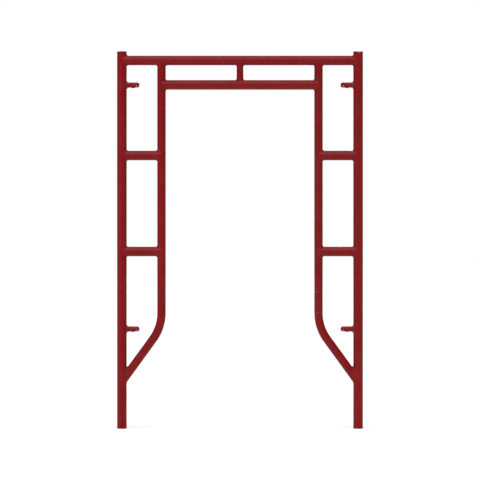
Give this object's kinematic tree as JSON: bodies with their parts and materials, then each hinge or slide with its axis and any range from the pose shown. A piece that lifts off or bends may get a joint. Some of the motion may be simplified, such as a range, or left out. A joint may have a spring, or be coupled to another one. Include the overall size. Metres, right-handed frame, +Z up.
{
  "type": "walk-through scaffold frame",
  "caption": "Welded tubular walk-through scaffold frame with an arch of bent inner uprights, climbing rungs, and spring-latch studs that hold the cross braces.",
  "frame": {"origin": "on the ground, midway between the legs, at the middle of the frame's thickness", "axes": "+X to the right along the headers, +Y through the frame's thickness away from the viewer, +Z up the legs"},
  "size_m": [1.2294, 0.0484, 1.885],
  "materials": {
    "painted_tube": "satin",
    "painted_stud": "satin",
    "painted_latch": "satin",
    "spring_wire": "satin"
  },
  "bodies": {
    "frame": {"left_leg": "painted_tube", "right_leg": "painted_tube", "header": "painted_tube", "lower_header": "painted_tube", "header_strut": "painted_tube", "left_inner_upright": "painted_tube", "left_upper_rung": "painted_tube", "left_lower_rung": "painted_tube", "left_upper_stud": "painted_stud", "left_upper_latch_rivet": "painted_stud", "left_upper_latch_spring": "spring_wire", "left_lower_stud": "painted_stud", "left_lower_latch_rivet": "painted_stud", "left_lower_latch_spring": "spring_wire", "right_inner_upright": "painted_tube", "right_upper_rung": "painted_tube", "right_lower_rung": "painted_tube", "right_upper_stud": "painted_stud", "right_upper_latch_rivet": "painted_stud", "right_upper_latch_spring": "spring_wire", "right_lower_stud": "painted_stud", "right_lower_latch_rivet": "painted_stud", "right_lower_latch_spring": "spring_wire"},
    "left_upper_latch": {"left_upper_latch": "painted_latch"},
    "left_lower_latch": {"left_lower_latch": "painted_latch"},
    "right_upper_latch": {"right_upper_latch": "painted_latch"},
    "right_lower_latch": {"right_lower_latch": "painted_latch"}
  },
  "joints": [
    {"name": "left_upper_latch", "type": "hinge", "parent": "frame", "child": "left_upper_latch", "pos_m": [-0.51635, 0, 1.7122], "axis": [0, 1, 0], "range_deg": [0, 15], "stiffness_Nm_per_rad": 0.2, "springref_deg": -28.65, "deforming": ["left_upper_latch_spring"]},
    {"name": "left_lower_latch", "type": "hinge", "parent": "frame", "child": "left_lower_latch", "pos_m": [-0.51635, 0, 0.493], "axis": [0, 1, 0], "range_deg": [0, 15], "stiffness_Nm_per_rad": 0.2, "springref_deg": -28.65, "deforming": ["left_lower_latch_spring"]},
    {"name": "right_upper_latch", "type": "hinge", "parent": "frame", "child": "right_upper_latch", "pos_m": [0.51635, 0, 1.7122], "axis": [0, -1, 0], "range_deg": [0, 15], "stiffness_Nm_per_rad": 0.2, "springref_deg": -28.65, "deforming": ["right_upper_latch_spring"]},
    {"name": "right_lower_latch", "type": "hinge", "parent": "frame", "child": "right_lower_latch", "pos_m": [0.51635, 0, 0.493], "axis": [0, -1, 0], "range_deg": [0, 15], "stiffness_Nm_per_rad": 0.2, "springref_deg": -28.65, "deforming": ["right_lower_latch_spring"]}
  ]
}
